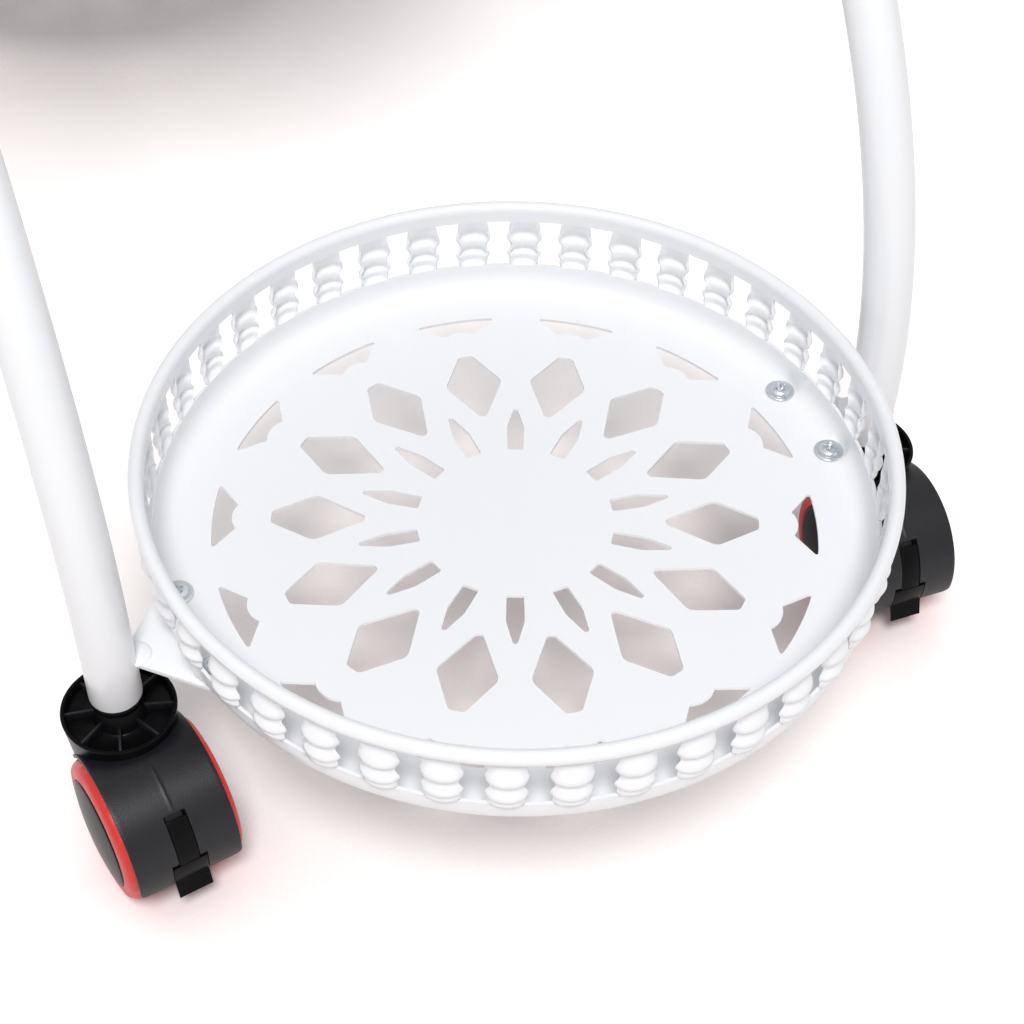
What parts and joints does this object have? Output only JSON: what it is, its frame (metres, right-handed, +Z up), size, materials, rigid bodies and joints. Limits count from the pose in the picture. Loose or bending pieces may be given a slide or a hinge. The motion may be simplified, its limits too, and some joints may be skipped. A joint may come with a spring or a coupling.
{
  "type": "flower cart stand",
  "caption": "Arched steel tube flower stand on braked twin-wheel castors, with round pierced trays low at each end and one at the top of the arch.",
  "frame": {"origin": "on the floor, midway between the four castors", "axes": "+Z up, +Y along the arches away from the front tray, +X to the right from one arch to the other"},
  "size_m": [0.3574, 0.8132, 0.4063],
  "materials": {
    "arch_paint": "gloss",
    "tray_paint": "gloss",
    "screw_zinc": "zinc plated",
    "stem_zinc": "zinc plated",
    "castor_nylon": "fine grain",
    "tyre_red": "smooth"
  },
  "bodies": {
    "frame": {"arch_left": "arch_paint", "arch_right": "arch_paint", "tray_front": "tray_paint", "bracket_front_left": "tray_paint", "screw_front_left_1": "screw_zinc", "screw_front_left_2": "screw_zinc", "bracket_front_right": "tray_paint", "screw_front_right_1": "screw_zinc", "screw_front_right_2": "screw_zinc", "tray_top": "tray_paint", "bracket_top_left": "tray_paint", "screw_top_left_1": "screw_zinc", "screw_top_left_2": "screw_zinc", "bracket_top_right": "tray_paint", "screw_top_right_1": "screw_zinc", "screw_top_right_2": "screw_zinc", "tray_back": "tray_paint", "bracket_back_left": "tray_paint", "screw_back_left_1": "screw_zinc", "screw_back_left_2": "screw_zinc", "bracket_back_right": "tray_paint", "screw_back_right_1": "screw_zinc", "screw_back_right_2": "screw_zinc", "castor_front_left_socket": "castor_nylon", "castor_front_left_stem": "stem_zinc", "castor_front_right_socket": "castor_nylon", "castor_front_right_stem": "stem_zinc", "castor_back_right_socket": "castor_nylon", "castor_back_right_stem": "stem_zinc", "castor_back_left_socket": "castor_nylon", "castor_back_left_stem": "stem_zinc"},
    "front_left_castor": {"castor_front_left_housing": "castor_nylon", "castor_front_left_axle": "stem_zinc"},
    "front_left_wheel_left": {"castor_front_left_hub_left": "castor_nylon", "castor_front_left_tyre_left": "tyre_red"},
    "front_left_wheel_right": {"castor_front_left_hub_right": "castor_nylon", "castor_front_left_tyre_right": "tyre_red"},
    "front_left_brake": {"castor_front_left_brake_pedal": "castor_nylon"},
    "front_right_castor": {"castor_front_right_housing": "castor_nylon", "castor_front_right_axle": "stem_zinc"},
    "front_right_wheel_left": {"castor_front_right_hub_left": "castor_nylon", "castor_front_right_tyre_left": "tyre_red"},
    "front_right_wheel_right": {"castor_front_right_hub_right": "castor_nylon", "castor_front_right_tyre_right": "tyre_red"},
    "front_right_brake": {"castor_front_right_brake_pedal": "castor_nylon"},
    "back_right_castor": {"castor_back_right_housing": "castor_nylon", "castor_back_right_axle": "stem_zinc"},
    "back_right_wheel_left": {"castor_back_right_hub_left": "castor_nylon", "castor_back_right_tyre_left": "tyre_red"},
    "back_right_wheel_right": {"castor_back_right_hub_right": "castor_nylon", "castor_back_right_tyre_right": "tyre_red"},
    "back_right_brake": {"castor_back_right_brake_pedal": "castor_nylon"},
    "back_left_castor": {"castor_back_left_housing": "castor_nylon", "castor_back_left_axle": "stem_zinc"},
    "back_left_wheel_left": {"castor_back_left_hub_left": "castor_nylon", "castor_back_left_tyre_left": "tyre_red"},
    "back_left_wheel_right": {"castor_back_left_hub_right": "castor_nylon", "castor_back_left_tyre_right": "tyre_red"},
    "back_left_brake": {"castor_back_left_brake_pedal": "castor_nylon"}
  },
  "joints": [
    {"name": "front_left_swivel", "type": "hinge", "parent": "frame", "child": "front_left_castor", "pos_m": [-0.156, -0.27, 0.066], "axis": [0, 0, 1], "continuous": true},
    {"name": "front_left_roll_left", "type": "hinge", "parent": "front_left_castor", "child": "front_left_wheel_left", "pos_m": [-0.15365, -0.29238, 0.0275], "axis": [0.9945, 0.1045, 0], "continuous": true},
    {"name": "front_left_roll_right", "type": "hinge", "parent": "front_left_castor", "child": "front_left_wheel_right", "pos_m": [-0.15365, -0.29238, 0.0275], "axis": [0.9945, 0.1045, 0], "continuous": true},
    {"name": "front_left_brake_press", "type": "hinge", "parent": "front_left_castor", "child": "front_left_brake", "pos_m": [-0.15157, -0.31219, 0.02576], "axis": [0.9945, 0.1045, 0], "range_deg": [0, 8]},
    {"name": "front_right_swivel", "type": "hinge", "parent": "frame", "child": "front_right_castor", "pos_m": [0.156, -0.27, 0.066], "axis": [0, 0, 1], "continuous": true},
    {"name": "front_right_roll_left", "type": "hinge", "parent": "front_right_castor", "child": "front_right_wheel_left", "pos_m": [0.15404, -0.29241, 0.0275], "axis": [0.9962, -0.0872, 0], "continuous": true},
    {"name": "front_right_roll_right", "type": "hinge", "parent": "front_right_castor", "child": "front_right_wheel_right", "pos_m": [0.15404, -0.29241, 0.0275], "axis": [0.9962, -0.0872, 0], "continuous": true},
    {"name": "front_right_brake_press", "type": "hinge", "parent": "front_right_castor", "child": "front_right_brake", "pos_m": [0.1523, -0.31226, 0.02576], "axis": [0.9962, -0.0872, 0], "range_deg": [0, 8]},
    {"name": "back_right_swivel", "type": "hinge", "parent": "frame", "child": "back_right_castor", "pos_m": [0.156, 0.27, 0.066], "axis": [0, 0, 1], "continuous": true},
    {"name": "back_right_roll_left", "type": "hinge", "parent": "back_right_castor", "child": "back_right_wheel_left", "pos_m": [0.15365, 0.29238, 0.0275], "axis": [-0.9945, -0.1045, 0], "continuous": true},
    {"name": "back_right_roll_right", "type": "hinge", "parent": "back_right_castor", "child": "back_right_wheel_right", "pos_m": [0.15365, 0.29238, 0.0275], "axis": [-0.9945, -0.1045, 0], "continuous": true},
    {"name": "back_right_brake_press", "type": "hinge", "parent": "back_right_castor", "child": "back_right_brake", "pos_m": [0.15157, 0.31219, 0.02576], "axis": [-0.9945, -0.1045, 0], "range_deg": [0, 8]},
    {"name": "back_left_swivel", "type": "hinge", "parent": "frame", "child": "back_left_castor", "pos_m": [-0.156, 0.27, 0.066], "axis": [0, 0, 1], "continuous": true},
    {"name": "back_left_roll_left", "type": "hinge", "parent": "back_left_castor", "child": "back_left_wheel_left", "pos_m": [-0.15404, 0.29241, 0.0275], "axis": [-0.9962, 0.0872, 0], "continuous": true},
    {"name": "back_left_roll_right", "type": "hinge", "parent": "back_left_castor", "child": "back_left_wheel_right", "pos_m": [-0.15404, 0.29241, 0.0275], "axis": [-0.9962, 0.0872, 0], "continuous": true},
    {"name": "back_left_brake_press", "type": "hinge", "parent": "back_left_castor", "child": "back_left_brake", "pos_m": [-0.1523, 0.31226, 0.02576], "axis": [-0.9962, 0.0872, 0], "range_deg": [0, 8]}
  ]
}
